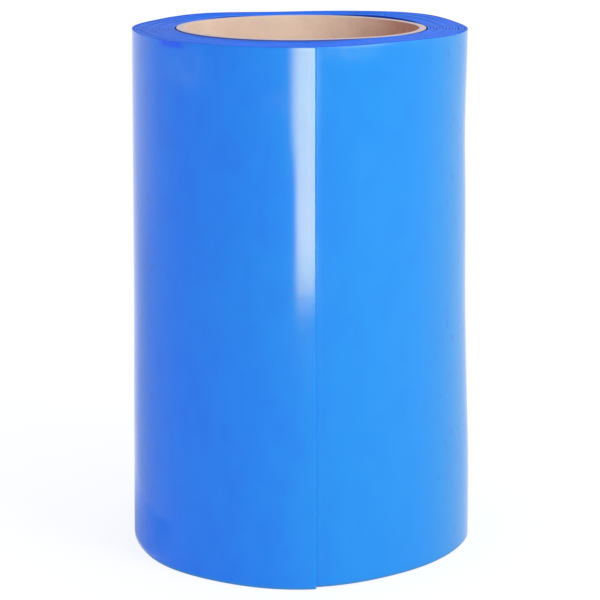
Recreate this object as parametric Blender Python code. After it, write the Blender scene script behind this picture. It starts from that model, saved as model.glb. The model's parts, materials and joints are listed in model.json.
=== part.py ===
"""Strip for a PVC door curtain: one long strip, wound on a cardboard core and standing on its end.

The strip starts on the core at inner_end_deg and winds outwards counter-clockwise, seen from above, to its
free end at outer_end_deg. Its last stretch is cut into short segments, each hinged to the one before it, so
that the free end can be peeled off the roll. Metres, +Z up. The origin is the middle of the roll's box, on
the floor.
"""

import math

import bmesh
import bpy
import numpy as np

# The strip
strip_width = 0.400
strip_thickness = 0.002

# The cardboard core
core_diameter = 0.190
core_wall = 0.0055
core_stand = 0.001  # how far the core stands above the strip's edge
core_rim_bevel = 0.0005
core_sides = 120

# How the strip lies on the core
core_gap = 0.0005
turn_gap = 0.00042  # the least gap between two turns, where they lie tightest
loose_gap = 0.0006  # how much wider a gap is in a loose place whose share is 1
whole_turns = 12
inner_end_deg = 60.0
outer_end_deg = 276.0
climb_deg = 60.0  # each turn climbs over the one below in this arc, which ends above the inner end
step_deg = 6.0

# Where the turns lie loose: (angle, spread, share of loose_gap), with both angles in degrees
loose_place_shares = (
    (7.0, 15.0, 0.35),
    (54.0, 18.0, 1.05),
    (181.0, 36.0, 0.42),
    (260.0, 19.0, 1.30),
)

# The free end, as hinged segments
tail_segments = 16
tail_segment_deg = 6.0
hinge_gap = 0.0003

# Finishes: colour, roughness
glossy_blue_pvc = ((0.034, 0.270, 0.880), 0.15)
tan_cardboard = ((0.640, 0.450, 0.290), 0.85)

full_turn_deg = 360.0
sharp_edge_deg = 30.0
mm_per_metre = 1000
wound_deg = whole_turns * full_turn_deg + outer_end_deg - inner_end_deg
tail_start_deg = wound_deg - tail_segments * tail_segment_deg
core_radius = core_diameter / 2
core_length = strip_width + core_stand


def smooth_step(share):
    """Rises from 0 to 1 as the share does, level at both ends."""
    share = min(max(share, 0.0), 1.0)
    return share * share * (3 - 2 * share)


def gap_at(angle_deg):
    """The gap between two turns at an angle around the roll."""
    gap = turn_gap
    for place_deg, spread_deg, share in loose_place_shares:
        away_deg = (angle_deg - place_deg + full_turn_deg / 2) % full_turn_deg - full_turn_deg / 2
        gap += loose_gap * share * math.exp(-((away_deg / spread_deg) ** 2) / 2)
    return gap


def inner_radius(wound):
    """The radius of the strip's inner face, at an angle in degrees wound from the strip's inner end."""
    turns_below, into_turn = divmod(wound, full_turn_deg)
    climb_share = (into_turn - full_turn_deg + climb_deg) / climb_deg
    layers = turns_below + smooth_step(climb_share)
    return core_radius + core_gap + layers * (strip_thickness + gap_at(inner_end_deg + wound))


def plan_point(wound, height_in_strip):
    """A point of the strip in plan, at a height above its inner face."""
    angle = math.radians(inner_end_deg + wound)
    radius = inner_radius(wound) + height_in_strip
    return radius * math.cos(angle), radius * math.sin(angle)


def stations(first, last):
    """The wound angles from first to last: both ends, and each whole step between them."""
    whole = np.arange(math.floor(first / step_deg) + 1, math.ceil(last / step_deg)) * step_deg
    return [first, *whole.tolist(), last]


def roll_box_centre():
    """The middle of the roll's box in plan, seen from the core's axis."""
    last_turn = stations(wound_deg - full_turn_deg, wound_deg)
    points = np.array([plan_point(wound, strip_thickness) for wound in last_turn])
    return (points.min(axis=0) + points.max(axis=0)) / 2


def plain_material(name, finish):
    """A plain material in one colour."""
    colour, roughness = finish
    material = bpy.data.materials.new(name)
    material.use_nodes = True
    shader = material.node_tree.nodes["Principled BSDF"]
    shader.inputs["Base Color"].default_value = (*colour, 1.0)
    shader.inputs["Roughness"].default_value = roughness
    shader.inputs["Metallic"].default_value = 0.0
    material.diffuse_color = (*colour, 1.0)
    return material


def add_object(name, mesh, parent, location, finish):
    """Places a mesh as a named object with its own material."""
    mesh.materials.append(plain_material(name + "_material", finish))
    placed = bpy.data.objects.new(name, mesh)
    bpy.context.scene.collection.objects.link(placed)
    placed.parent = parent
    placed.location = location
    return placed


def skin(name, rings, closed):
    """A smooth solid over a row of rings, each one joined to the next. A closed row meets itself."""
    solid = bmesh.new()
    made = [[solid.verts.new(corner) for corner in ring] for ring in rings]
    following_rings = made[1:] + made[:1] if closed else made[1:]
    for ring, following in zip(made, following_rings):
        for corner in range(len(ring)):
            beside = (corner + 1) % len(ring)
            solid.faces.new((ring[beside], ring[corner], following[corner], following[beside]))
    if not closed:
        solid.faces.new(made[0])
        solid.faces.new(reversed(made[-1]))
    bmesh.ops.recalc_face_normals(solid, faces=solid.faces)
    mesh = bpy.data.meshes.new(name)
    solid.to_mesh(mesh)
    solid.free()
    mesh.shade_smooth()
    mesh.set_sharp_from_angle(angle=math.radians(sharp_edge_deg))
    return mesh


def upright_ring(inner, outer, height):
    """The four corners of an upright wall's section, from its inner and its outer point in plan."""
    return [(*inner, 0.0), (*outer, 0.0), (*outer, height), (*inner, height)]


def strip_mesh(name, wound_angles, origin):
    """The stretch of strip through these wound angles: an upright band with square ends, about an origin."""
    rings = []
    for wound in wound_angles:
        inner = np.subtract(plan_point(wound, 0.0), origin)
        outer = np.subtract(plan_point(wound, strip_thickness), origin)
        rings.append(upright_ring(inner, outer, strip_width))
    return skin(name, rings, closed=False)


def core_mesh():
    """The cardboard tube."""
    rings = []
    for side in range(core_sides):
        angle = 2 * math.pi * side / core_sides
        direction = np.array((math.cos(angle), math.sin(angle)))
        inner = direction * (core_radius - core_wall)
        rings.append(upright_ring(inner, direction * core_radius, core_length))
    return skin("core_tube", rings, closed=True)


def add_core(parent):
    """The core, its rims a little worn, with its origin on its axis, along which it lifts out of the roll."""
    core = add_object("core_tube", core_mesh(), parent, (0.0, 0.0, 0.0), tan_cardboard)
    bevel = core.modifiers.new("worn_rims", "BEVEL")
    bevel.width = core_rim_bevel
    bevel.segments = 1
    bevel.limit_method = "ANGLE"


def add_winding(parent):
    """The strip from its inner end to where the free end starts, as one unbroken body."""
    half_gap_deg = math.degrees(hinge_gap / 2 / inner_radius(tail_start_deg))
    mesh = strip_mesh("strip_winding", stations(0.0, tail_start_deg - half_gap_deg), (0.0, 0.0))
    add_object("strip_winding", mesh, parent, (0.0, 0.0, 0.0), glossy_blue_pvc)


def add_tail(parent):
    """The free end: short segments, each with its origin on its hinge, on the strip's outer face."""
    carrier = parent
    carrier_place = (0.0, 0.0)
    for number in range(tail_segments):
        first = tail_start_deg + number * tail_segment_deg
        last = first + tail_segment_deg
        hinge = plan_point(first, strip_thickness)
        half_gap_deg = math.degrees(hinge_gap / 2 / inner_radius(first))
        end_trim_deg = half_gap_deg if number < tail_segments - 1 else 0.0
        name = f"strip_tail_{number + 1}"
        mesh = strip_mesh(name, stations(first + half_gap_deg, last - end_trim_deg), hinge)
        place = (hinge[0] - carrier_place[0], hinge[1] - carrier_place[1], 0.0)
        carrier = add_object(name, mesh, carrier, place, glossy_blue_pvc)
        carrier_place = hinge


def distance_to_line(point, line):
    """The least distance from a point to a line of points."""
    start, end = line[:-1], line[1:]
    along = end - start
    share = np.clip(((point - start) * along).sum(axis=1) / (along**2).sum(axis=1), 0.0, 1.0)
    return np.sqrt(((start + along * share[:, None] - point) ** 2).sum(axis=1)).min()


def least_gap():
    """The least gap between each turn and the next one out, measured both ways on their points."""
    angles = stations(0.0, wound_deg)
    inner_face = np.array([plan_point(wound, 0.0) for wound in angles])
    outer_face = np.array([plan_point(wound, strip_thickness) for wound in angles])
    per_turn = round(full_turn_deg / step_deg)
    least = math.inf
    for at in range(len(angles) - per_turn):
        over = inner_face[max(at + per_turn - 2, 0) : at + per_turn + 3]
        least = min(least, distance_to_line(outer_face[at], over))
        under = outer_face[max(at - 2, 0) : at + 3]
        least = min(least, distance_to_line(inner_face[at + per_turn], under))
    return least


def main():
    for old in list(bpy.data.objects):
        bpy.data.objects.remove(old)
    centre = roll_box_centre()
    roll_axis = bpy.data.objects.new("roll_axis", None)
    roll_axis.location = (-centre[0], -centre[1], 0.0)
    bpy.context.scene.collection.objects.link(roll_axis)
    add_core(roll_axis)
    add_winding(roll_axis)
    add_tail(roll_axis)
    print(f"least gap between turns: {least_gap() * mm_per_metre:.3f} mm")


main()
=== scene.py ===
"""Roll of blue PVC strip for a door curtain, on its cardboard core: its looks, built around the fixed model.

The strip is one surface, worked out by wall_radius(): how far its inner face lies from the core's axis, at an
angle wound from its inner end and a height. It is cut into pieces where the free end bends, and each piece
meets the next on the same ring of points. Metres and degrees, +Z up, in the model's own frame.
"""

import json
import math

import bpy
import numpy as np
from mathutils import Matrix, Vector


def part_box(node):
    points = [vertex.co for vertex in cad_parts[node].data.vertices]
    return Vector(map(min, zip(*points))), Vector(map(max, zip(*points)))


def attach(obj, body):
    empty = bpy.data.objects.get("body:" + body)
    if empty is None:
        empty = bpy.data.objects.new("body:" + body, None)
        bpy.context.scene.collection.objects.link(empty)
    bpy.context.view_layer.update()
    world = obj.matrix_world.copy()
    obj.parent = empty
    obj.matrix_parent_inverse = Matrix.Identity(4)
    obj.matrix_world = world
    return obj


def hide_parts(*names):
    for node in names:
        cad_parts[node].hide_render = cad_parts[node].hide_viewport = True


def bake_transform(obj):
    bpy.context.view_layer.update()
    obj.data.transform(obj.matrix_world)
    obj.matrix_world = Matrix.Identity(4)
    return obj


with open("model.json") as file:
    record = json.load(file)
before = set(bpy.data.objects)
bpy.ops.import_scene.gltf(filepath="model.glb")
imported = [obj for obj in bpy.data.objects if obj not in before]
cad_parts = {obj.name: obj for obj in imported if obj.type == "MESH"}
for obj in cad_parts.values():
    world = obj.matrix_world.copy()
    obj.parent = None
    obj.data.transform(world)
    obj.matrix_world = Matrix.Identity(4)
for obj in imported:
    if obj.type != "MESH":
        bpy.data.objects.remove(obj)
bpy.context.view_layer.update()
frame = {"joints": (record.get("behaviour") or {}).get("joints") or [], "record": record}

# Places that the model gives
core_low, core_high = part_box("core_tube")
strip_low, strip_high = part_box("strip_winding")
core_axis = np.array([(core_low.x + core_high.x) / 2, (core_low.y + core_high.y) / 2])
core_radius = (core_high.x - core_low.x) / 2
core_height = core_high.z
strip_width = strip_high.z
hinges = [joint for joint in frame["joints"] if joint["name"].startswith("peel_")]
full_turn = 360.0

# The strip as it is wound
strip_thickness = 0.002
edge_rounding = 0.0003
whole_turns = 13
inner_end = 48.0
outer_end = 274.7
climb = 48.0  # each turn climbs over the one below in this arc, which ends above the inner end
core_gap = 0.0004
tight_gap = 0.00006
loose_spacing = 20.0
loose_spread = 14.0
# How loose the turns lie, every loose_spacing round the roll from angle 0 on: the width added to each gap
loose_gaps = (
    0.00029, 0.0, 0.00058, 0.00058, 0.00050, 0.0, 0.00051, 0.00032, 0.00016,
    0.00026, 0.00003, 0.00040, 0.00022, 0.00052, 0.00035, 0.0, 0.0, 0.0,
)
loose_places = [(number * loose_spacing, loose_spread, gap) for number, gap in enumerate(loose_gaps)]
# How the looseness is shared out between the gaps, from the one round the core on
gap_shares = (1.9, 0.7, 0.8, 1.2, 0.5, 0.9, 1.1, 0.7, 1.0, 0.5, 1.3, 0.7, 0.9, 0.8)
gap_sums = np.cumsum(gap_shares)
# The same at the left, where most of it lies inside, and how much of each gap there the pressed edges close
left_gap_shares = (2.0, 1.5, 1.1, 1.4, 1.1, 0.9, 0.9, 0.8, 0.7, 0.6, 0.6, 0.5, 0.5, 0.4)
left_gap_sums = np.cumsum(left_gap_shares)
left_place = 185.0
left_spread = 42.0
left_pressed = 0.75
wound_whole = whole_turns * full_turn + outer_end - inner_end

# How much looser the turns lie at the floor than at the top, and how much is added to that at the front
floor_slack = 0.00028
floor_slack_front = 0.00008
# Where the wall leans out: (angle, its spread, height, its spread, power, size)
leans = (
    (0.0, 35.0, strip_width, 0.02, 2, 0.0005),
    (0.0, 35.0, 0.0, 0.13, 4, 0.0030),
    (180.0, 35.0, 0.0, 0.13, 4, 0.0007),
    (0.0, 28.0, 0.0, 0.085, 6, 0.0011),
    (0.0, 28.0, 0.322, 0.028, 2, -0.0010),
)
# How far the free end stands off: at the floor, and all the way up
tip_lift = 0.0008
tip_lift_arc = 24.0
tip_spring = 0.0003
tip_spring_arc = 9.0
end_slope = 0.0012  # how much further the free end reaches on its inner face than on its outer one
end_rounding = edge_rounding / 2  # of the cut ends, across and along

# Small unevenness: (angle waves round the roll, height waves, phase, size) of the wall
ripples = (
    (3.0, 1.1, 0.4, 0.00008),
    (5.0, 2.3, 2.1, 0.00005),
    (9.0, 1.7, 4.0, 0.00003),
    (14.0, 3.6, 1.2, 0.000015),
)
# (degrees wound for one wave, phase, size) of the strip's edge, from turn to turn
edge_waves = ((517.0, 0.3, 0.00010), (283.0, 2.2, 0.00006), (1390.0, 4.1, 0.00012))
foot_wave_phase = 1.7  # how far the waves of the lower edge are ahead of the upper edge's

# Where the strip's upper edge stands higher or lower: (angle, its spread, height)
edge_rises = (
    (47.0, 15.0, 0.0012),
    (100.0, 14.0, -0.0005),
    (128.0, 10.0, 0.0004),
    (155.0, 10.0, -0.0004),
    (309.0, 14.0, 0.0009),
)
# How the innermost turn has slid up beside the core: how high, where, how wide, and the angles wound between
# which that fades
inner_rise = 0.0007
inner_rise_place = 80.0
inner_rise_spread = 70.0
inner_rise_from = 180.0
inner_rise_until = 430.0

# Fineness of the meshes
coarse_step = 3.0
fine_step = 1.0
coarse_rows = 8
fine_rows = 22
rounding_steps = 3
fine_below_tail = 24.0  # how far before the tail, one turn in, the fine stretch starts
difference_step = 0.02
height_step = 0.0005
cut_from = 0.25  # faces whose normals point up or down by more than this share are cut edges

# The deep blue wedge under the top edge, as ranges: its start and its end in x, its lower edge below the
# strip's upper edge, and the front of the roll in y
wedge_start = (-0.104, -0.098)
wedge_end = (-0.0875, -0.0795, 1.0, 0.0)
wedge_up = (-0.0065, -0.0025)
wedge_front = (-0.05, -0.04, 1.0, 0.0)

# Places on the wall painted paler, as painted highlights: a glint under the top edge and hazy reflections:
# (x, z, half its width, half its height, how pale)
painted_highlight_places = (
    (0.034, 0.398, 0.036, 0.015, 0.080),
    (0.085, 0.401, 0.045, 0.008, 0.045),
    (0.043, 0.401, 0.040, 0.004, 0.300),
    (-0.0815, 0.381, 0.024, 0.024, 0.055),
    (0.046, 0.316, 0.012, 0.022, 0.015),
    (-0.014, 0.362, 0.016, 0.016, 0.040),
)
# Dull places on the wall, as above
dull_places = (
    (-0.098, 0.326, 0.010, 0.022, 0.10),
    (-0.093, 0.272, 0.016, 0.014, 0.10),
    (-0.094, 0.118, 0.022, 0.012, 0.06),
    (0.079, 0.350, 0.012, 0.018, 0.06),
    (0.072, 0.272, 0.016, 0.020, 0.05),
)

# The cardboard core
core_wall = 0.0055
rim_rounding = 0.0006
# Where the core's upper rim stands higher or lower: (angle, its spread, height)
rim_rises = ((42.0, 30.0, -0.0007), (22.0, 12.0, -0.0003), (122.0, 34.0, -0.0008), (289.0, 14.0, 0.0004))
rim_rise_power = 8  # how sharply these gather at the rim
core_sides = 240
core_rows = 80
ply_pitch = 0.145
# How wavy it is, as (waves round it, radians they turn in a metre of height, phase, share of the waviness)
paper_waves = ((3, 11, 0.0, 1.0), (7, -23, 1.0, 0.6))
paper_waviness = 0.00012

# Camera, as the photograph was taken
camera_place = (0.0006, -1.6834, 0.5764)
camera_pitch = 12.97
camera_lens = 133.1


def smooth_step(share):
    """Rises from 0 to 1 as the share does, level at both ends."""
    share = np.clip(share, 0.0, 1.0)
    return share * share * (3 - 2 * share)


def turned_from(angle, place):
    """How far an angle lies from a place round the roll, from -180 to 180."""
    return (angle - place + full_turn / 2) % full_turn - full_turn / 2


def hump(away, spread, power=2):
    """1 at a place, falling to 0 away from it."""
    return np.exp(-(np.abs(away / spread) ** power) / 2)


def humps_at(angle, humps):
    """A height or width at an angle round the roll, as the sum of humps: (angle, its spread, size)."""
    return sum(size * hump(turned_from(angle, place), spread) for place, spread, size in humps)


def left_share(angle):
    """1 at the left, where the turns lie loosest, falling to 0 away from there."""
    return hump(turned_from(angle, left_place), left_spread)


def layers_below(wound):
    """How many turns lie below the strip. It rises by one in each climb."""
    turns_below, into_turn = np.divmod(wound, full_turn)
    return turns_below + smooth_step((into_turn - full_turn + climb) / climb)

def gaps_under(layers, sums):
    """How much of the looseness lies under some turns, by one of the two lists of sums."""
    return np.interp(layers, np.arange(whole_turns + 1), sums)


def thickness_at(wound):
    """The strip's thickness: its edges are pressed a little wider where the turns lie loose at the left."""
    angle = inner_end + wound
    layers = layers_below(wound)
    gap_above = gaps_under(layers + 1, left_gap_sums) - gaps_under(layers, left_gap_sums)
    return strip_thickness + left_pressed * left_share(angle) * humps_at(angle, loose_places) * gap_above


def wall_radius(wound, height):
    """The distance of the strip's inner face from the core's axis."""
    angle = inner_end + wound
    turn = np.radians(angle)
    layers = layers_below(wound)
    below_top = 1 - height / strip_width
    slack = (floor_slack - floor_slack_front * np.sin(turn)) * below_top
    at_left = left_share(angle)
    gaps = gaps_under(layers, gap_sums) * (1 - at_left) + gaps_under(layers, left_gap_sums) * at_left
    loosened = humps_at(angle, loose_places) * gaps
    uneven = 0.0
    for place, spread, lean_height, height_spread, power, size in leans:
        lean = size * hump(turned_from(angle, place), spread)
        uneven = uneven + lean * hump(height - lean_height, height_spread, power)
    for waves, high_waves, phase, size in ripples:
        ripple = size * np.sin(waves * turn + phase)
        uneven = uneven + ripple * np.cos(high_waves * math.pi * below_top + phase)
    wall = core_radius + core_gap + layers * (strip_thickness + tight_gap + slack) + loosened
    lifted = tip_lift * below_top * smooth_step((wound - wound_whole + tip_lift_arc) / tip_lift_arc)
    sprung = tip_spring * np.clip((wound - wound_whole + tip_spring_arc) / tip_spring_arc, 0.0, 1.0) ** 2
    return wall + uneven * layers / whole_turns + lifted + sprung


def edge_rise(wound, phase):
    """How far the strip's edge strays from its mean height."""
    return sum(size * np.sin(2 * math.pi * wound / wave + start + phase) for wave, start, size in edge_waves)


def inner_lift(wound):
    """How far the innermost turn has slid up."""
    near = hump(turned_from(inner_end + wound, inner_rise_place), inner_rise_spread)
    gone = smooth_step((wound - inner_rise_from) / (inner_rise_until - inner_rise_from))
    return inner_rise * near * (1 - gone)


def wall_section(thickness, rounding, whole_height, rows):
    """An upright wall's section with rounded edges, from its foot up the outer side and down the inner side.

    Gives each point's depth from the inner face, its height, and the normal's outward and upward parts.
    """
    side = thickness - rounding
    foot = []
    for turned in np.linspace(0.0, math.pi / 2, rounding_steps + 1):
        out, down = math.sin(turned), math.cos(turned)
        foot.append((side + rounding * out, rounding * (1 - down), out, -down))
    heights = np.linspace(rounding, whole_height - rounding, rows + 2)[1:-1]
    wall = [(thickness, height, 1.0, 0.0) for height in heights]
    head = [(depth, whole_height - height, out, -up) for depth, height, out, up in reversed(foot)]
    outer = np.array(foot + wall + head)
    inner = outer[::-1] * (-1, 1, -1, 1) + (thickness, 0, 0, 0)
    return np.vstack((outer, inner)).T


def strip_section(rows):
    """The strip's section, as above."""
    return wall_section(strip_thickness, edge_rounding, strip_width, rows)


def around_core(reach, turn, height):
    """Points at a reach from the core's axis, a turn round it and a height."""
    x, y = core_axis
    return np.stack((x + reach * np.cos(turn), y + reach * np.sin(turn), height), axis=-1)


def strip_rings(wound, section):
    """Points and normals of the strip's section at each wound angle: two arrays, ring by ring."""
    depth, height, out, up = section
    wound = np.asarray(wound, float)
    if wound.ndim == 1:
        wound = wound[:, None]
    rise_share = height / strip_width
    foot_rise = edge_rise(wound, foot_wave_phase) + rise_room()
    risen = height + edge_rise(wound, 0.0) * rise_share + foot_rise * (1 - rise_share)
    risen = risen + (inner_lift(wound) + humps_at(inner_end + wound, edge_rises)) * rise_share
    turn = np.radians(inner_end + wound)
    radius = wall_radius(wound, height)
    onward_rise = wall_radius(wound + difference_step, height) - wall_radius(wound - difference_step, height)
    along = onward_rise / (2 * math.radians(difference_step))
    upward_rise = wall_radius(wound, height + height_step) - wall_radius(wound, height - height_step)
    upward = upward_rise / (2 * height_step)
    reach = radius + depth * thickness_at(wound) / strip_thickness
    points = around_core(reach, turn, risen)
    outward = np.stack((np.cos(turn), np.sin(turn), np.zeros_like(turn)), axis=-1)
    onward = np.stack((-np.sin(turn), np.cos(turn), np.zeros_like(turn)), axis=-1)
    face = outward - onward * (along / radius)[..., None]
    face[..., 2] -= upward
    face /= np.linalg.norm(face, axis=-1, keepdims=True)
    normals = face * out[:, None]
    normals[..., 2] += up
    normals /= np.linalg.norm(normals, axis=-1, keepdims=True)
    return points, normals


def rise_room():
    """Lifts the foot of the strip so that its lowest edge rests on the floor."""
    return sum(size for _, _, size in edge_waves)


def strip_length_table():
    """Wound angles and the strip's length up to each, along its middle."""
    wound = np.arange(0.0, wound_whole + fine_step, fine_step)
    radius = wall_radius(wound, strip_width / 2) + strip_thickness / 2
    lengths = np.concatenate(([0.0], np.cumsum((radius[1:] + radius[:-1]) / 2 * math.radians(fine_step))))
    return wound, lengths


length_table = strip_length_table()


def rounded_end(wound_end, section, direction, slope=0.0):
    """Rings that round off a cut end of the strip. direction is 1 at its outer end and -1 at its inner end.

    slope is how much further the strip reaches on its inner face.
    """
    depth, height, out, up = section
    rings, ring_normals, wound_at = [], [], []
    radius = float(wall_radius(wound_end, strip_width / 2))
    for turned in np.linspace(0.0, math.pi / 2, rounding_steps + 1):
        drawn_in = end_rounding * (1 - math.cos(turned))
        back = end_rounding * (1 - math.sin(turned))
        wound = wound_end - direction * math.degrees(back / radius)
        sloped = wound - math.degrees(slope / radius) * depth / strip_thickness
        slim = strip_thickness / 2 + (depth - strip_thickness / 2) * (1 - 2 * drawn_in / strip_thickness)
        short = strip_width / 2 + (height - strip_width / 2) * (1 - 2 * drawn_in / strip_width)
        points, normals = strip_rings(sloped[None, :], (slim, short, out, up))
        turn = math.radians(inner_end + wound)
        onward = np.array((-math.sin(turn), math.cos(turn), 0.0)) * direction
        facing = onward * strip_thickness + np.array((math.cos(turn), math.sin(turn), 0.0)) * slope
        normals = normals * math.cos(turned) + facing / np.linalg.norm(facing) * math.sin(turned)
        normals /= np.linalg.norm(normals, axis=-1, keepdims=True)
        rings.append(points[0])
        ring_normals.append(normals[0])
        wound_at.append(wound)
    order = slice(None, None, direction)
    return np.array(rings)[order], np.array(ring_normals)[order], np.array(wound_at)[order]


def strip_piece(name, first, last, step, rows, starts_strip=False, ends_strip=False):
    """A stretch of the strip as one mesh, from one wound angle to another."""
    section = strip_section(rows)
    whole = np.arange(math.floor(first / step) + 1, math.ceil(last / step)) * step
    room = math.degrees(edge_rounding / core_radius)
    end_room = math.degrees((edge_rounding + end_slope) / core_radius) if ends_strip else room
    wound = np.array([first, *whole[(whole > first + room) & (whole < last - end_room)], last])
    wound = wound[1 if starts_strip else 0 : -1 if ends_strip else None]
    stretches = [(*strip_rings(wound, section), wound)]
    if starts_strip:
        stretches.insert(0, rounded_end(first, section, -1))
    if ends_strip:
        stretches.append(rounded_end(last, section, 1, end_slope))
    points, normals, wound = (np.concatenate(kind) for kind in zip(*stretches))
    piece = ring_mesh(name, points, normals, cap_first=starts_strip, cap_last=ends_strip)
    _, height, _, up = section
    length = np.interp(wound, *length_table)
    uv = np.stack(np.broadcast_arrays(length[:, None], height[None, :]), axis=-1).reshape(-1, 2)
    edge_share = np.broadcast_to(np.abs(up), (len(wound), len(up))).ravel()
    add_places(piece.data, uv, edge_share)
    piece.data.materials.append(pvc)
    piece.data.materials.append(pvc_cut)
    mark_cut_faces(piece.data, edge_share)
    return piece


def ring_mesh(name, points, normals, cap_first=False, cap_last=False, closed=False):
    """A mesh over rows of points, each row a closed ring, with the given normals."""
    rings, around = points.shape[:2]
    index = np.arange(rings * around).reshape(rings, around)
    following = np.roll(index, -1, axis=0) if closed else index[1:]
    near = index if closed else index[:-1]
    quads = np.stack((near, following, np.roll(following, -1, axis=1), np.roll(near, -1, axis=1)), axis=-1)
    faces = [quads.reshape(-1, 4)]
    half = around // 2
    lower = np.arange(half - 1)
    for wanted, ring, flip in ((cap_first, index[0], False), (cap_last, index[-1], True)):
        if wanted:
            upper = around - 1 - lower
            cap = np.stack((ring[lower], ring[lower + 1], ring[upper - 1], ring[upper]), axis=-1)
            faces.append(cap[:, ::-1] if flip else cap)
    faces = np.concatenate(faces)
    flat_points = points.reshape(-1, 3)
    flat_normals = normals.reshape(-1, 3)
    corner = flat_points[faces[0]]
    facing = np.cross(corner[1] - corner[0], corner[3] - corner[0])
    if facing @ flat_normals[faces[0][0]] < 0:
        faces = faces[:, ::-1]
    mesh = bpy.data.meshes.new(name)
    mesh.vertices.add(len(flat_points))
    mesh.vertices.foreach_set("co", flat_points.astype(np.float32).ravel())
    mesh.loops.add(faces.size)
    mesh.loops.foreach_set("vertex_index", faces.ravel().astype(np.int32))
    mesh.polygons.add(len(faces))
    mesh.polygons.foreach_set("loop_start", np.arange(0, faces.size, 4, dtype=np.int32))
    mesh.update(calc_edges=True)
    mesh.shade_smooth()
    mesh.normals_split_custom_set_from_vertices(flat_normals.tolist())
    placed = bpy.data.objects.new(name, mesh)
    bpy.context.scene.collection.objects.link(placed)
    return placed


def add_places(mesh, uv, edge_share):
    """Gives a mesh its rest places, so that its pattern stays with it when it bends."""
    layer = mesh.uv_layers.new(name="place_on_sheet")
    vertex = np.zeros(len(mesh.loops), dtype=np.int32)
    mesh.loops.foreach_get("vertex_index", vertex)
    layer.data.foreach_set("uv", uv[vertex].astype(np.float32).ravel())
    rest = mesh.attributes.new("rest_place", "FLOAT_VECTOR", "POINT")
    places = np.zeros(len(mesh.vertices) * 3, dtype=np.float32)
    mesh.vertices.foreach_get("co", places)
    rest.data.foreach_set("vector", places)
    share = mesh.attributes.new("edge_share", "FLOAT", "POINT")
    share.data.foreach_set("value", np.ascontiguousarray(edge_share, dtype=np.float32))


def mark_cut_faces(mesh, edge_share):
    """Gives the faces of the strip's cut edges the second material."""
    corner = np.zeros(len(mesh.loops), dtype=np.int32)
    mesh.loops.foreach_get("vertex_index", corner)
    cut = edge_share[corner].reshape(-1, 4).mean(axis=1) > cut_from
    mesh.polygons.foreach_set("material_index", cut.astype(np.int32))


class Shading:
    """A node tree, with short ways to add nodes."""

    def __init__(self, tree):
        self.tree = tree

    def put(self, socket, value):
        """Sets an input to a value, or links it to another node's output."""
        if isinstance(value, bpy.types.NodeSocket):
            self.tree.links.new(value, socket)
        else:
            socket.default_value = value

    def add(self, kind, *values, settings=None, **inputs):
        """Adds a node. Values go to its inputs in order, or by name, with underscores for spaces."""
        node = self.tree.nodes.new(kind)
        for name, value in (settings or {}).items():
            setattr(node, name, value)
        for socket, value in zip(node.inputs, values):
            self.put(socket, value)
        for name, value in inputs.items():
            self.put(node.inputs[name.replace("_", " ")], value)
        return node

    def carried(self, name, output="Vector"):
        """A vector that the mesh carries, or with the output Fac a number."""
        return self.add("ShaderNodeAttribute", settings={"attribute_name": name}).outputs[output]

    def on_sheet(self):
        """The place on the flat sheet: along it, and up it."""
        return self.add("ShaderNodeUVMap", settings={"uv_map": "place_on_sheet"}).outputs["UV"]

    def parts(self, vector):
        """A vector's x, y and z."""
        return self.add("ShaderNodeSeparateXYZ", vector).outputs

    def vector(self, operation, *values, output="Vector"):
        """A sum, product or the like of vectors."""
        return self.add("ShaderNodeVectorMath", *values, settings={"operation": operation}).outputs[output]

    def math(self, operation, *values):
        """A sum, root or the like."""
        return self.add("ShaderNodeMath", *values, settings={"operation": operation}).outputs[0]

    def times(self, first, *others):
        """A product of two values or more."""
        for other in others:
            first = self.math("MULTIPLY", first, other)
        return first

    def noise(self, vector, fineness, detail=2.0, roughness=0.5):
        """Smooth noise from 0 to 1. A fineness along each axis stretches it."""
        if isinstance(fineness, tuple):
            vector, fineness = self.vector("MULTIPLY", vector, fineness), 1.0
        inputs = {"Vector": vector, "Scale": fineness, "Detail": detail, "Roughness": roughness}
        return self.add("ShaderNodeTexNoise", **inputs).outputs["Fac"]

    def ranged(self, value, low, high, to_low=0.0, to_high=1.0):
        """Moves a value smoothly from one range to another, held at both ends."""
        inputs = {"Value": value, "From Min": low, "From Max": high, "To Min": to_low, "To Max": to_high}
        settings = {"interpolation_type": "SMOOTHSTEP"}
        return self.add("ShaderNodeMapRange", settings=settings, **inputs).outputs["Result"]

    def mixed(self, share, first, second, blend="MIX"):
        """One colour turning into another."""
        node = self.add("ShaderNodeMix", share, settings={"data_type": "RGBA", "blend_type": blend})
        self.put(node.inputs[6], first)
        self.put(node.inputs[7], second)
        return node.outputs[2]

    def bump(self, height, distance, under=None, strength=1.0):
        """A normal that is raised by a height, over the normal under it."""
        inputs = {"Height": height, "Distance": distance, "Strength": strength}
        if under is not None:
            inputs["Normal"] = under
        return self.add("ShaderNodeBump", **inputs).outputs["Normal"]

    def surface(self, kind, *values, **inputs):
        """A surface, a glow or a mixture of them."""
        return self.add(kind, *values, **inputs).outputs[0]

    def principled(self):
        """The inputs of a new material's own surface."""
        return self.tree.nodes["Principled BSDF"].inputs


def new_material(name):
    """A new material and its node tree."""
    material = bpy.data.materials.new(name)
    material.use_nodes = True
    return material, Shading(material.node_tree)


def offset_from(place, offsets):
    """Places at some offsets from a place."""
    return [place + offset for offset in offsets]
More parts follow.
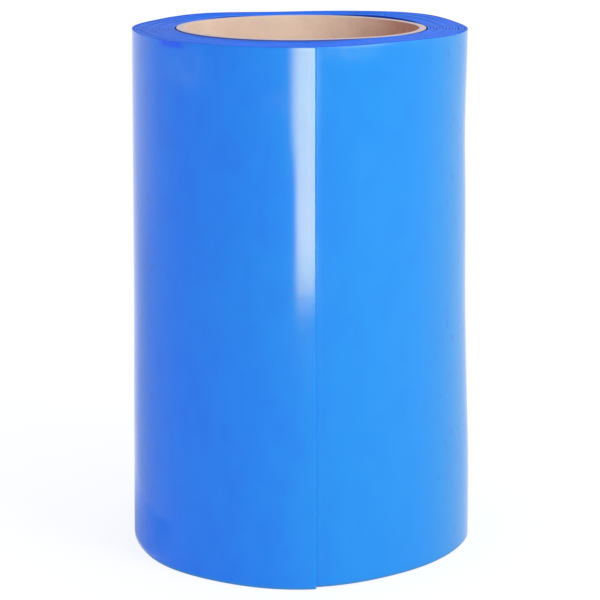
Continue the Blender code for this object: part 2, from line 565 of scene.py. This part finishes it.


# Colours, linear
# painted shade at the left of the strip's face
left_painted_shade_blue = (0.0, 0.194, 0.960, 1.0)
azure_blue = (0.006, 0.292, 0.840, 1.0)
# painted shade at the right edge of the strip's face
right_painted_shade_blue = (0.006, 0.300, 0.770, 1.0)
mottle_tint = (0.7, 0.82, 0.96, 1.0)
scuff_blue = (0.020, 0.250, 0.760, 1.0)
# painted highlight colour for the glint and hazy reflections
painted_highlight_blue = (0.500, 0.760, 0.960, 1.0)
# painted light at the strip's end
step_light_blue = (0.020, 0.380, 1.0, 1.0)
spot_blue = (0.0, 0.120, 0.620, 1.0)
# painted shade in the gap beside the core
painted_gap_shade_blue = (0.010, 0.045, 0.420, 1.0)
wedge_blue = (0.0, 0.110, 0.980, 1.0)
# painted shade along the foot of every turn
painted_foot_shade_blue = (0.030, 0.260, 0.560, 1.0)
edge_blue = (0.003, 0.160, 0.880, 1.0)
edge_left_blue = (0.002, 0.135, 0.760, 1.0)
edge_dark_blue = (0.003, 0.080, 0.560, 1.0)
kraft = (0.430, 0.265, 0.155, 1.0)
kraft_dark = (0.270, 0.130, 0.065, 1.0)
kraft_shaded = (0.095, 0.120, 0.410, 1.0)
liner = (0.950, 0.745, 0.590, 1.0)
# painted shade of the liner on the right
liner_painted_shade = (0.470, 0.200, 0.150, 1.0)
cut_paper = (0.620, 0.530, 0.550, 1.0)
fibre_pale = (0.950, 0.820, 0.720, 1.0)
fibre_dark = (0.560, 0.360, 0.250, 1.0)

# In what follows a noise is its fineness, detail and roughness. A range is from where to where something
# changes, then what it gives at both ends where that isn't 0 and 1.

# The strip's face: painted shade across the front, in x, deeper blue to the left and greyer at the right
# edge, standing for the light that falls from the right, and the clouds that move it
left_shade_range = (-0.135, 0.065)
right_shade_range = (0.085, 0.125)
cloud_noise = (9.0, 2.0)
cloud_drift = 0.06
# Its fine mottling, weaker to the right of the middle
mottle_noise = ((62.0, 62.0, 34.0), 4.0, 0.6)
mottle_range = (0.38, 0.72)
mottle_across = (0.0, 0.03, 0.50, 0.28)
# Its scuffs, and its small dark spots near both sides
scuff_noise = ((90.0, 140.0, 1.0), 4.0, 0.7)
scuff_range = (0.70, 0.80)
scuff_share = 0.25
scuff_dullness = 0.12
spot_noise = (120.0, 1.0, 0.4)
spot_range = (0.62, 0.76, 0.0, 0.30)
spot_sides = (0.095, 0.112)
# Paler lines painted at the strip's end, as painted light that lifts the shade of the step there: on the turn
# below it, before and after the end's place, and on the end
step_light_before = (-0.002, 0.0)
step_light_after = (0.0005, 0.0055)
step_light_on_end = (-0.0016, -0.0010)
step_light_share = 0.30
# The innermost turn's upper edge, painted in the shade of the gap beside the core, along the strip and up it,
# and the painted shade along the foot of every turn
shaded_length = (0.64, 0.66, 1.0, 0.0)
shaded_up = (-0.005, -0.003)
foot_range = (0.0006, 0.0026, 0.85, 0.0)
# Its gloss and its small bumps
gloss_range = (0.3, 0.7, 0.09, 0.14)
rolling_noise = (24.0, 2.0)
rolling_depth = 0.00015
streak_noise = ((3.0, 420.0, 1.0), 2.0)
streak_depth = 0.00001
grain_noise = (210.0, 2.0)
grain_depth = 0.00001
pvc_ior = 1.39
# Its painted highlights and dull places: where the front ends, in y, and their ragged outlines
front_range = (-0.04, -0.02, 1.0, 0.0)
ragged_noise = (70.0, 3.0)
ragged_range = (0.35, 0.6, 0.5, 1.1)


def pvc_material():
    """Glossy blue PVC: clear colour with painted shade, painted highlights and painted light, faint streaks
    along the strip and a few scuffs.
    """
    material, s = new_material("blue_pvc")
    shader = s.principled()
    rest = s.carried("rest_place")
    across = s.parts(rest)["X"]
    sheet = s.on_sheet()
    along, up, _ = s.parts(sheet)
    clouds = s.noise(rest, *cloud_noise)
    drift = s.math("ADD", across, s.times(s.math("SUBTRACT", clouds, 0.5), cloud_drift))
    # painted shade: deeper blue to the left, greyer at the right edge, as if lit from the right
    face = s.mixed(s.ranged(drift, *left_shade_range), left_painted_shade_blue, azure_blue)
    face = s.mixed(s.ranged(across, *right_shade_range), face, right_painted_shade_blue)
    mottled = s.times(s.ranged(s.noise(rest, *mottle_noise), *mottle_range), s.ranged(across, *mottle_across))
    face = s.mixed(mottled, face, s.mixed(1.0, face, mottle_tint, "MULTIPLY"))
    # painted highlights: the glint under the top edge and hazy reflections
    face = s.mixed(cloudy(s, rest, painted_highlight_places), face, painted_highlight_blue)
    face = s.mixed(cloudy(s, rest, dull_places), face, spot_blue)
    scuffed = s.ranged(s.noise(sheet, *scuff_noise), *scuff_range)
    face = s.mixed(s.times(scuffed, scuff_share), face, scuff_blue)
    spots = s.ranged(s.noise(rest, *spot_noise), *spot_range)
    at_sides = s.ranged(s.math("ABSOLUTE", across), *spot_sides)
    face = s.mixed(s.times(spots, at_sides), face, spot_blue)
    # a deeper blue wedge painted under the top edge at the left
    face = s.mixed(deep_wedge_share(s, rest), face, wedge_blue)
    # painted light along the strip's end, lifting the shade of the step
    under_end = length_at(wound_whole - full_turn)
    before = s.ranged(along, *offset_from(under_end, step_light_before))
    after = s.ranged(along, *offset_from(under_end, step_light_after), step_light_share, 0.0)
    face = s.mixed(s.times(before, after), face, step_light_blue)
    whole_length = float(length_table[1][-1])
    at_end = s.ranged(along, *offset_from(whole_length, step_light_on_end), 0.0, step_light_share)
    face = s.mixed(at_end, face, step_light_blue)
    # painted shade in the gap by the core, and along the foot of every turn
    by_the_edge = s.ranged(up, *offset_from(strip_width, shaded_up))
    face = s.mixed(s.times(s.ranged(along, *shaded_length), by_the_edge), face, painted_gap_shade_blue)
    face = s.mixed(s.ranged(up, *foot_range), face, painted_foot_shade_blue)
    s.put(shader["Base Color"], face)
    dulled = s.times(scuffed, scuff_dullness)
    s.put(shader["Roughness"], s.math("ADD", s.ranged(clouds, *gloss_range), dulled))
    rolling = s.bump(s.noise(rest, *rolling_noise), rolling_depth)
    streaked = s.bump(s.noise(sheet, *streak_noise), streak_depth, rolling)
    s.put(shader["Normal"], s.bump(s.noise(rest, *grain_noise), grain_depth, streaked))
    shader["IOR"].default_value = pvc_ior
    return material


def length_at(wound):
    """The strip's length up to an angle wound."""
    return float(np.interp(wound, *length_table))


def cloudy(s, rest, places):
    """How much the front of the wall changes at some places, with ragged outlines."""
    front = s.ranged(s.parts(rest)["Y"], *front_range)
    total = 0.0
    for x, z, wide, high, share in places:
        away = s.vector("SUBTRACT", rest, (x, 0.0, z))
        away = s.vector("MULTIPLY", away, (1 / wide, 0.0, 1 / high))
        reach = s.vector("LENGTH", away, output="Value")
        total = s.math("ADD", total, s.ranged(reach, 0.0, 1.0, share, 0.0))
    ragged = s.ranged(s.noise(rest, *ragged_noise), *ragged_range)
    return s.times(total, front, ragged)


def deep_wedge_share(s, rest):
    """1 in the small deep blue wedge painted under the top edge at the left."""
    x, y, z = s.parts(rest)
    along = s.times(s.ranged(x, *wedge_start), s.ranged(x, *wedge_end))
    high = s.ranged(z, *offset_from(strip_width, wedge_up))
    return s.times(along, s.times(high, s.ranged(y, *wedge_front)))


# The cut edges: their colour across the top, in x, darker patches, and marks across the strip
edge_range = (-0.125, -0.03)
patch_noise = (30.0, 3.0, 0.6)
patch_range = (0.35, 0.8, 0.0, 0.40)
mark_noise = ((700.0, 60.0, 1.0), 3.0)
mark_range = (0.45, 0.8, 0.0, 0.35)
mark_depth = 0.00002
mark_strength = 0.6
# The last turn's darker edge: where it starts along the strip, and how it grows towards the far side, in y
last_turn_start = (-0.004, 0.004)
last_turn_back = (-0.02, 0.06, 0.25, 0.60)
cut_dullness = (0.3, 0.7, 0.42, 0.55)
cut_specular = 0.06


def cut_material():
    """The strip's knife-cut edges: dull royal blue with fine marks across, and darker patches."""
    material, s = new_material("blue_pvc_cut")
    shader = s.principled()
    rest = s.carried("rest_place")
    sheet = s.on_sheet()
    across, back, _ = s.parts(rest)
    marks = s.noise(sheet, *mark_noise)
    colour = s.mixed(s.ranged(across, *edge_range), edge_left_blue, edge_blue)
    colour = s.mixed(s.ranged(s.noise(rest, *patch_noise), *patch_range), colour, edge_dark_blue)
    colour = s.mixed(s.ranged(marks, *mark_range), colour, edge_dark_blue)
    starts = length_at(wound_whole - full_turn)
    last_turn = s.ranged(s.parts(sheet)["X"], *offset_from(starts, last_turn_start))
    colour = s.mixed(s.times(last_turn, s.ranged(back, *last_turn_back)), colour, edge_dark_blue)
    s.put(shader["Base Color"], colour)
    s.put(shader["Roughness"], s.ranged(marks, *cut_dullness))
    s.put(shader["Normal"], s.bump(marks, mark_depth, strength=mark_strength))
    shader["Specular IOR Level"].default_value = cut_specular
    return material


# The core's paper: fibres, flecks and blotches
fibre_noise = ((420.0, 420.0, 90.0), 4.0, 0.65)
fibre_range = (0.45, 0.7, 0.0, 0.12)
fleck_noise = ((260.0, 260.0, 700.0), 2.0)
fleck_range = (0.66, 0.74, 0.0, 0.35)
blotch_noise = (22.0, 3.0)
blotch_range = (0.35, 0.8, 0.0, 0.30)
# Its liner is painted browner to the right, in x, as painted shade on the inside that faces away from the
# light, moved by the blotches, and takes over inside the wall
liner_shade_range = (0.008, 0.095)
liner_shade_drift = 0.05
liner_reach = (-0.6 * core_wall, -0.4 * core_wall)
# The seam of its plies, as pitches from a ply's middle, and the plies' thickness where the cut rim shows them
seam_range = (0.494, 0.4995)
seam_share = 0.5
ply_thickness = 0.00055
ply_range = (0.2, 1.0, 0.0, 0.35)
rim_range = (0.3, 0.9)
# Its outer face by the strip's edge, in blue shade: how far in from that face, and up to the edge
shade_reach = (-0.0014, -0.0008)
shade_up = (-0.0012, -0.0006)
# How dull it is, and its small bumps
paper_dullness = (0.3, 0.7, 0.78, 0.92)
fibre_depth = 0.00006
fibre_strength = 0.7
seam_depth = 0.00015
seam_strength = 0.8
paper_ior = 1.45
paper_specular = 0.3


def card_material():
    """Spiral-wound paperboard: fibres, the butt seams of the plies, a pale cut rim with its plies on edge."""
    material, s = new_material("paperboard")
    shader = s.principled()
    rest = s.carried("rest_place")
    x, y, z = s.parts(s.vector("SUBTRACT", rest, (core_axis[0], core_axis[1], 0.0)))
    radius = s.math("SQRT", s.math("ADD", s.times(x, x), s.times(y, y)))
    angle = s.math("DIVIDE", s.math("ARCTAN2", y, x), 2 * math.pi)
    into_ply = s.math("FRACT", s.math("SUBTRACT", s.math("DIVIDE", z, ply_pitch), angle))
    seam = s.ranged(s.math("ABSOLUTE", s.math("SUBTRACT", into_ply, 0.5)), *seam_range)
    inside = s.ranged(radius, *offset_from(core_radius, liner_reach), 1.0, 0.0)
    fibres = s.noise(rest, *fibre_noise)
    blotches = s.noise(rest, *blotch_noise)
    # painted shade: the liner browner and darker to the right
    drift = s.math("ADD", x, s.times(s.math("SUBTRACT", blotches, 0.5), liner_shade_drift))
    lined_and_shaded = s.mixed(s.ranged(drift, *liner_shade_range), liner, liner_painted_shade)
    paper = s.mixed(inside, kraft, lined_and_shaded)
    paper = s.mixed(s.ranged(blotches, *blotch_range), paper, fibre_dark)
    paper = s.mixed(s.ranged(fibres, *fibre_range), paper, fibre_pale)
    paper = s.mixed(s.ranged(s.noise(rest, *fleck_noise), *fleck_range), paper, fibre_dark)
    paper = s.mixed(s.times(seam, seam_share), paper, kraft_dark)
    outside = s.ranged(radius, *offset_from(core_radius, shade_reach))
    by_the_edge = s.ranged(z, *offset_from(strip_width, shade_up))
    paper = s.mixed(s.times(outside, by_the_edge), paper, kraft_shaded)
    plies = s.math("SINE", s.times(radius, 2 * math.pi / ply_thickness))
    rim_colour = s.mixed(s.ranged(plies, *ply_range), cut_paper, kraft)
    rim = s.ranged(s.carried("edge_share", "Fac"), *rim_range)
    s.put(shader["Base Color"], s.mixed(rim, paper, rim_colour))
    s.put(shader["Roughness"], s.ranged(fibres, *paper_dullness))
    grain = s.bump(fibres, fibre_depth, strength=fibre_strength)
    s.put(shader["Normal"], s.bump(into_ply, seam_depth, grain, seam_strength))
    shader["IOR"].default_value = paper_ior
    shader["Specular IOR Level"].default_value = paper_specular
    return material


def build_core():
    """The paper tube, slightly wavy, with soft cut rims."""
    depth, height, out, up = wall_section(core_wall, rim_rounding, core_height, core_rows)
    angle = np.radians(np.arange(core_sides) * full_turn / core_sides)[:, None]
    wavy = 0.0
    for waves, rise, phase, share in paper_waves:
        wavy = wavy + share * np.sin(waves * angle + rise * height + phase)
    reach = core_radius - core_wall + depth + paper_waviness * wavy / 2 - paper_waviness
    risen = height + humps_at(np.degrees(angle), rim_rises) * (height / core_height) ** rim_rise_power
    points = around_core(reach, angle, risen)
    normals = np.stack((out * np.cos(angle), out * np.sin(angle), np.broadcast_to(up, reach.shape)), axis=-1)
    core = ring_mesh("cardboard_core", points, normals, closed=True)
    around = np.broadcast_to(angle * core_radius, reach.shape)
    uv = np.stack((around, np.broadcast_to(height, reach.shape)), axis=-1).reshape(-1, 2)
    add_places(core.data, uv, np.broadcast_to(np.abs(up), reach.shape).ravel())
    core.data.materials.append(card_material())
    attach(core, "core")
    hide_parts("core_tube")


def wound_of(place):
    """The angle wound at a place on the strip's last turn."""
    angle = math.degrees(math.atan2(place[1] - core_axis[1], place[0] - core_axis[0])) % full_turn
    return wound_whole - (outer_end - angle) % full_turn


def middle_of_strip(wound):
    """The middle of the strip's section at a wound angle."""
    points, _ = strip_rings([wound], strip_section(fine_rows))
    return points[0].mean(axis=0)


def build_strip():
    """The winding, and the free end cut into pieces at the hinges, of which only the tip is hung on the last
    hinge.
    """
    hinge_wound = [wound_of(hinge["pos_m"]) for hinge in hinges]
    half_segment = (wound_whole - hinge_wound[-1]) / 2
    cuts = [hinge_wound[0] - half_segment]
    cuts += [(here + after) / 2 for here, after in zip(hinge_wound, hinge_wound[1:])]
    cuts += [wound_whole - half_segment]
    fine_from = cuts[0] - full_turn - fine_below_tail
    coarse = (coarse_step, coarse_rows)
    fine = (fine_step, fine_rows)
    winding = strip_piece("strip_winding_inner_turns", 0.0, fine_from, *coarse, starts_strip=True)
    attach(winding, "roll")
    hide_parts("strip_winding")
    outer = strip_piece("strip_winding_outer_turn", fine_from, cuts[0], *fine)
    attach(outer, "roll")
    for number, hinge in enumerate(hinges):
        name = f"strip_bend_{number + 1}"
        bend = strip_piece(name, cuts[number], cuts[number + 1], *fine)
        start, end = middle_of_strip(cuts[number]), middle_of_strip(cuts[number + 1])
        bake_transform(bend)
        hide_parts(*node_of(hinge["child"]))
    tip = strip_piece("strip_free_end", cuts[-1], wound_whole, *fine, ends_strip=True)
    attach(tip, hinges[-1]["child"])


def node_of(body):
    """The model's nodes that a body carries."""
    return frame["record"]["behaviour"]["bodies"][body]


# Studio
white = (1.0, 1.0, 1.0, 1.0)
ambient = (0.83, 0.85, 0.88, 1.0)
floor_size = 30.0
floor_colour = (0.80, 0.80, 0.80, 1.0)  # as the roll sees it
floor_shade = (0.28, 0.28, 0.28, 1.0)  # as the camera sees it, together with the glow
floor_glow = 0.772
# Round lamps: size, power, place, and the height on the upright axis that they face
key_lamp = (1.1, 15.0, (1.5, -1.35, 1.25), strip_width / 2)
rim_lamp = (0.35, 90.0, (1.45, -1.6, 2.0), strip_width)
# The tall light in front: how far off it stands, its sides in x, and its foot and head in z
tall_colour = (1.0, 0.83, 0.13, 1.0)
tall_strength = 18.2
tall_distance = 0.62
tall_left = -0.076
tall_low_left = -0.031  # where its left side lies in its lower part
tall_step = (0.22, 0.27)  # the heights between which its left side moves over
tall_full = 0.045  # from here on it is at full strength
tall_right = 0.225
tall_foot = (0.092, 0.106)
tall_head = 0.45
tall_reach = (0.685, 0.712)  # it fades out over this distance: only the front of the roll mirrors it
# The side cards: their places in x, their span in y, their foot and head in z, and how they fade at the ends
side_x = -0.2
side_foot_x = -0.115
side_from = -0.105
side_to = 0.200
side_foot = 0.003
side_head = 0.560
side_fades = (0.005, -0.010)
side_head_fade = (-0.080, -0.010)
side_thinned = (0.180, 0.300, 1.0, 0.55)  # how much they hide, from their lower half to their upper
# The upright card and the card on the floor: colour, and from where to where in y it hides most
side_wall = ((0.60, 0.62, 0.46, 1.0), 0.030, 0.050)
side_floor = ((0.43, 0.48, 0.62, 1.0), -0.045, -0.010)


def seen_share(s):
    """1 for what the camera sees straight, in a reflection or through clear material, and else 0."""
    rays = s.add("ShaderNodeLightPath").outputs
    plain = s.math("MAXIMUM", rays["Is Camera Ray"], rays["Is Glossy Ray"])
    return s.math("MAXIMUM", plain, rays["Is Transmission Ray"])


def world_light():
    """Even light from all round, which the camera and reflections see as white."""
    world = bpy.data.worlds.new("studio")
    bpy.context.scene.world = world
    world.use_nodes = True
    s = Shading(world.node_tree)
    s.tree.nodes.clear()
    soft = s.surface("ShaderNodeBackground", Color=ambient)
    seen = s.surface("ShaderNodeBackground", Color=white)
    s.add("ShaderNodeOutputWorld", Surface=s.surface("ShaderNodeMixShader", seen_share(s), soft, seen))


def flat_sheet(name, material_name, corners):
    """A flat sheet through four corners, and its empty node tree."""
    mesh = bpy.data.meshes.new(name)
    mesh.from_pydata(corners, [], [(0, 1, 2, 3)])
    sheet = bpy.data.objects.new(name, mesh)
    bpy.context.scene.collection.objects.link(sheet)
    material, s = new_material(material_name)
    s.tree.nodes.clear()
    mesh.materials.append(material)
    return sheet, s


def floor():
    """A white floor that keeps a faint shadow."""
    half = floor_size / 2
    corners = [(-half, -half, 0), (half, -half, 0), (half, half, 0), (-half, half, 0)]
    plane, s = flat_sheet("floor", "white_floor", corners)
    matte = s.surface("ShaderNodeBsdfDiffuse", Color=floor_colour)
    shade = s.surface("ShaderNodeBsdfDiffuse", Color=floor_shade)
    glow = s.surface("ShaderNodeEmission", Strength=floor_glow)
    lit = s.surface("ShaderNodeAddShader", shade, glow)
    s.add("ShaderNodeOutputMaterial", Surface=s.surface("ShaderNodeMixShader", seen_share(s), matte, lit))


def mirrored_card(name, corners):
    """A card that only reflections see: gives its empty node tree, and its x, y and z there."""
    card, s = flat_sheet(name, name, corners)
    card.visible_camera = False
    card.visible_diffuse = False
    card.visible_shadow = False
    return s, s.parts(s.add("ShaderNodeTexCoord").outputs["Object"])


def tall_light():
    """A narrow upright light in front, seen only as the tall reflection beside the strip's end."""
    front = strip_low.y - tall_distance
    foot = [(x, front, tall_foot[0]) for x in (tall_left, tall_right)]
    head = [(x, front, tall_head) for x in (tall_right, tall_left)]
    s, (x, _, z) = mirrored_card("tall_light", foot + head)
    left = s.ranged(z, *tall_step, tall_low_left, tall_left)
    rising = s.ranged(z, *tall_foot, 0.0, tall_strength)
    near = s.ranged(s.add("ShaderNodeLightPath").outputs["Ray Length"], *tall_reach, 1.0, 0.0)
    strength = s.times(rising, s.ranged(x, left, tall_full), near)
    glow = s.surface("ShaderNodeEmission", Color=tall_colour, Strength=strength)
    clear = s.surface("ShaderNodeBsdfTransparent")
    s.add("ShaderNodeOutputMaterial", Surface=s.surface("ShaderNodeAddShader", glow, clear))


def side_cards():
    """Grey cards at the left, upright and on the floor, which keep the reflection narrow."""
    high = [(side_x, side_from, side_head), (side_x, side_to, side_head)]
    low = [(side_x, side_to, side_foot), (side_x, side_from, side_foot)]
    near = [(side_foot_x, side_from, side_foot), (side_foot_x, side_to, side_foot)]
    side_card("side_card", high + low, *side_wall)
    side_card("side_card_on_floor", near + low, *side_floor)


def side_card(name, corners, colour, full_from, full_to):
    """One of the grey cards, fading out at its ends and thinner in its upper half."""
    s, (_, y, z) = mirrored_card(name, corners)
    front = s.ranged(y, side_from + side_fades[0], full_from)
    back = s.ranged(y, full_to, side_to + side_fades[1], 1.0, 0.0)
    head = s.ranged(z, *offset_from(side_head, side_head_fade), 1.0, 0.0)
    share = s.times(s.times(front, back), s.times(s.ranged(z, *side_thinned), head))
    clear = s.surface("ShaderNodeBsdfTransparent")
    grey = s.surface("ShaderNodeEmission", Color=colour)
    s.add("ShaderNodeOutputMaterial", Surface=s.surface("ShaderNodeMixShader", share, clear, grey))


def round_lamp(name, size, power, place, faced_height):
    """A round lamp that faces the upright axis at a height."""
    data = bpy.data.lights.new(name, "AREA")
    data.shape = "DISK"
    data.size = size
    data.energy = power
    lamp = bpy.data.objects.new(name, data)
    lamp.location = place
    aim = Vector((0.0, 0.0, faced_height)) - lamp.location
    lamp.rotation_euler = aim.to_track_quat("-Z", "Y").to_euler()
    bpy.context.scene.collection.objects.link(lamp)
    return lamp


def key_light():
    """A large soft lamp on the right."""
    round_lamp("key", *key_lamp)


def rim_light():
    """A small bright light, high on the right, seen only as the glint on the rounded top edge."""
    lamp = round_lamp("rim", *rim_lamp)
    lamp.visible_diffuse = False


def camera():
    """The camera, where the photograph was taken from."""
    data = bpy.data.cameras.new("camera")
    data.lens = camera_lens
    placed = bpy.data.objects.new("camera", data)
    placed.location = camera_place
    placed.rotation_euler = (math.radians(90 - camera_pitch), 0.0, 0.0)
    bpy.context.scene.collection.objects.link(placed)
    bpy.context.scene.camera = placed


bpy.context.scene.view_settings.view_transform = "Standard"
pvc = pvc_material()
pvc_cut = cut_material()
build_core()
build_strip()
floor()
world_light()
key_light()
tall_light()
side_cards()
rim_light()
camera()
